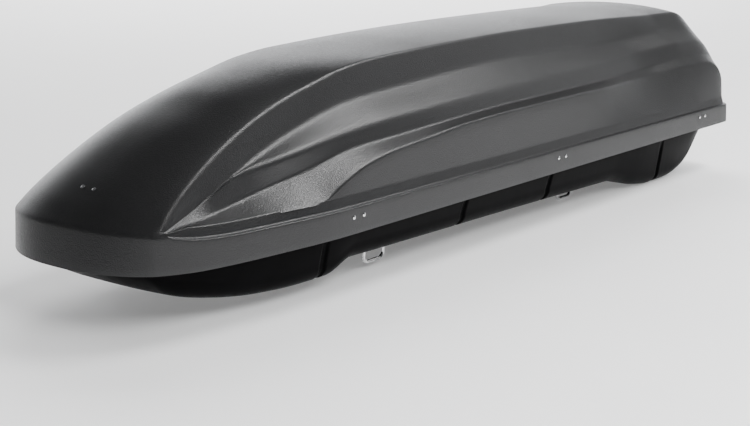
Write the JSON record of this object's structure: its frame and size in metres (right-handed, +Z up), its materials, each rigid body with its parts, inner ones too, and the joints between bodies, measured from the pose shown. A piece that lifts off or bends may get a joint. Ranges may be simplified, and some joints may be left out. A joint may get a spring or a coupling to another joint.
{
  "type": "roof cargo box",
  "caption": "Long hard-shell roof cargo box with a sculpted charcoal lid hinged along one side, a black tub, a central lock and U-bolt crossbar clamps.",
  "frame": {"origin": "middle of the flat underside of the tub that rests on the crossbars", "axes": "+X from the nose to the tail, +Y towards the side that opens (the hinges are on the -Y side), +Z up; the lid's lower edge is level and the tub's flat floor falls by 0.9 degrees towards the tail"},
  "size_m": [2, 0.63, 0.4273],
  "materials": {
    "lid_abs": "fine-grained charcoal ABS sheet, thermoformed",
    "base_abs": "black ABS sheet, satin",
    "zinc_steel": "zinc-plated pressed steel",
    "bright_steel": "bright nickel-plated steel",
    "black_nylon": "moulded black nylon",
    "webbing": "woven black polyester webbing"
  },
  "bodies": {
    "root": {"base_shell": "base_abs", "base_rail_left": "zinc_steel", "base_rail_right": "zinc_steel", "hinge_base_leaf_1": "zinc_steel", "hinge_base_leaf_2": "zinc_steel", "hinge_base_leaf_3": "zinc_steel", "hinge_pin_1": "bright_steel", "hinge_pin_2": "bright_steel", "hinge_pin_3": "bright_steel", "latch_striker_1": "zinc_steel", "latch_striker_2": "zinc_steel", "latch_striker_3": "zinc_steel", "strut_base_bracket_front": "zinc_steel", "strut_base_bracket_rear": "zinc_steel", "clamp_plate_front_left": "zinc_steel", "clamp_plate_front_right": "zinc_steel", "clamp_plate_rear_left": "zinc_steel", "clamp_plate_rear_right": "zinc_steel", "cargo_strap_1": "webbing", "cargo_strap_2": "webbing", "strap_buckle_1": "black_nylon", "strap_buckle_2": "black_nylon"},
    "lid": {"lid_shell": "lid_abs", "hinge_lid_leaf_1": "zinc_steel", "hinge_lid_leaf_2": "zinc_steel", "hinge_lid_leaf_3": "zinc_steel", "hinge_rivets_1": "bright_steel", "hinge_rivets_2": "bright_steel", "hinge_rivets_3": "bright_steel", "nose_bracket": "zinc_steel", "nose_rivets": "bright_steel", "lock_housing": "black_nylon", "lock_bar_guide_front": "black_nylon", "lock_bar_guide_rear": "black_nylon", "strut_lid_bracket_front": "zinc_steel", "strut_lid_bracket_rear": "zinc_steel"},
    "lock_cylinder": {"lock_cylinder": "bright_steel", "key": "bright_steel"},
    "lock_bar": {"lock_bar": "zinc_steel", "latch_hook_1": "zinc_steel", "latch_hook_2": "zinc_steel", "latch_hook_3": "zinc_steel"},
    "strut_tube_front": {"strut_tube_front": "black_nylon"},
    "strut_rod_front": {"strut_rod_front": "bright_steel"},
    "strut_tube_rear": {"strut_tube_rear": "black_nylon"},
    "strut_rod_rear": {"strut_rod_rear": "bright_steel"},
    "u_bolt_front_left": {"u_bolt_front_left": "bright_steel"},
    "knob_front_left_a": {"knob_front_left_a": "black_nylon"},
    "knob_front_left_b": {"knob_front_left_b": "black_nylon"},
    "u_bolt_front_right": {"u_bolt_front_right": "bright_steel"},
    "knob_front_right_a": {"knob_front_right_a": "black_nylon"},
    "knob_front_right_b": {"knob_front_right_b": "black_nylon"},
    "u_bolt_rear_left": {"u_bolt_rear_left": "bright_steel"},
    "knob_rear_left_a": {"knob_rear_left_a": "black_nylon"},
    "knob_rear_left_b": {"knob_rear_left_b": "black_nylon"},
    "u_bolt_rear_right": {"u_bolt_rear_right": "bright_steel"},
    "knob_rear_right_a": {"knob_rear_right_a": "black_nylon"},
    "knob_rear_right_b": {"knob_rear_right_b": "black_nylon"}
  },
  "joints": [
    {"name": "lid_hinge", "type": "hinge", "parent": "root", "child": "lid", "pos_m": [0.17043, -0.27579, 0.08522], "axis": [0.9994, -0.0358, 0], "range_deg": [0, 50]},
    {"name": "lock_bar_slide", "type": "slide", "parent": "lid", "child": "lock_bar", "axis": [0.9994, 0.0358, 0], "range_m": [0, 0.014]},
    {"name": "key_turn", "type": "hinge", "parent": "lid", "child": "lock_cylinder", "pos_m": [0.153, 0.28718, 0.10722], "axis": [0.0358, -0.9994, 0], "range_deg": [0, 90.5]},
    {"name": "strut_swing_front", "type": "hinge", "parent": "root", "child": "strut_tube_front", "pos_m": [-0.27792, -0.21371, 0.08722], "axis": [0.9994, -0.0358, 0], "range_deg": [0, 46.47]},
    {"name": "strut_extend_front", "type": "slide", "parent": "strut_tube_front", "child": "strut_rod_front", "axis": [0.0012, 0.0327, 0.9995], "range_m": [0, 0.0385]},
    {"name": "strut_swing_rear", "type": "hinge", "parent": "root", "child": "strut_tube_rear", "pos_m": [0.30207, -0.23448, 0.08722], "axis": [0.9994, -0.0358, 0], "range_deg": [0, 46.47]},
    {"name": "strut_extend_rear", "type": "slide", "parent": "strut_tube_rear", "child": "strut_rod_rear", "axis": [0.0012, 0.0327, 0.9995], "range_m": [0, 0.0385]},
    {"name": "knob_turn_front_left_a", "type": "hinge", "parent": "root", "child": "knob_front_left_a", "pos_m": [-0.37084, -0.16, 0.01692], "axis": [0.0157, 0, 0.9999], "range_deg": [0, 1441]},
    {"name": "knob_turn_front_left_b", "type": "hinge", "parent": "root", "child": "knob_front_left_b", "pos_m": [-0.30884, -0.16, 0.01595], "axis": [0.0157, 0, 0.9999], "range_deg": [0, 1441]},
    {"name": "u_bolt_travel_front_left", "type": "slide", "parent": "root", "child": "u_bolt_front_left", "axis": [-0.0157, 0, -0.9999], "range_m": [0, 0.01]},
    {"name": "knob_turn_front_right_a", "type": "hinge", "parent": "root", "child": "knob_front_right_a", "pos_m": [-0.37084, 0.16, 0.01692], "axis": [0.0157, 0, 0.9999], "range_deg": [0, 1441]},
    {"name": "knob_turn_front_right_b", "type": "hinge", "parent": "root", "child": "knob_front_right_b", "pos_m": [-0.30884, 0.16, 0.01595], "axis": [0.0157, 0, 0.9999], "range_deg": [0, 1441]},
    {"name": "u_bolt_travel_front_right", "type": "slide", "parent": "root", "child": "u_bolt_front_right", "axis": [-0.0157, 0, -0.9999], "range_m": [0, 0.01]},
    {"name": "knob_turn_rear_left_a", "type": "hinge", "parent": "root", "child": "knob_rear_left_a", "pos_m": [0.36907, -0.16, 0.00531], "axis": [0.0157, 0, 0.9999], "range_deg": [0, 1441]},
    {"name": "knob_turn_rear_left_b", "type": "hinge", "parent": "root", "child": "knob_rear_left_b", "pos_m": [0.43106, -0.16, 0.00433], "axis": [0.0157, 0, 0.9999], "range_deg": [0, 1441]},
    {"name": "u_bolt_travel_rear_left", "type": "slide", "parent": "root", "child": "u_bolt_rear_left", "axis": [-0.0157, 0, -0.9999], "range_m": [0, 0.01]},
    {"name": "knob_turn_rear_right_a", "type": "hinge", "parent": "root", "child": "knob_rear_right_a", "pos_m": [0.36907, 0.16, 0.00531], "axis": [0.0157, 0, 0.9999], "range_deg": [0, 1441]},
    {"name": "knob_turn_rear_right_b", "type": "hinge", "parent": "root", "child": "knob_rear_right_b", "pos_m": [0.43106, 0.16, 0.00433], "axis": [0.0157, 0, 0.9999], "range_deg": [0, 1441]},
    {"name": "u_bolt_travel_rear_right", "type": "slide", "parent": "root", "child": "u_bolt_rear_right", "axis": [-0.0157, 0, -0.9999], "range_m": [0, 0.01]}
  ],
  "couplings": [
    {"joint": "key_turn", "follows": "lock_bar_slide", "rad_per_m": 112.2},
    {"joint": "strut_swing_front", "follows": "lid_hinge", "ratio": 0.9254},
    {"joint": "strut_extend_front", "follows": "lid_hinge", "m_per_rad": 0.04385},
    {"joint": "strut_swing_rear", "follows": "lid_hinge", "ratio": 0.9254},
    {"joint": "strut_extend_rear", "follows": "lid_hinge", "m_per_rad": 0.04385},
    {"joint": "knob_turn_front_left_a", "follows": "u_bolt_travel_front_left", "rad_per_m": 2513.3},
    {"joint": "knob_turn_front_left_b", "follows": "u_bolt_travel_front_left", "rad_per_m": 2513.3},
    {"joint": "knob_turn_front_right_a", "follows": "u_bolt_travel_front_right", "rad_per_m": 2513.3},
    {"joint": "knob_turn_front_right_b", "follows": "u_bolt_travel_front_right", "rad_per_m": 2513.3},
    {"joint": "knob_turn_rear_left_a", "follows": "u_bolt_travel_rear_left", "rad_per_m": 2513.3},
    {"joint": "knob_turn_rear_left_b", "follows": "u_bolt_travel_rear_left", "rad_per_m": 2513.3},
    {"joint": "knob_turn_rear_right_a", "follows": "u_bolt_travel_rear_right", "rad_per_m": 2513.3},
    {"joint": "knob_turn_rear_right_b", "follows": "u_bolt_travel_rear_right", "rad_per_m": 2513.3}
  ]
}
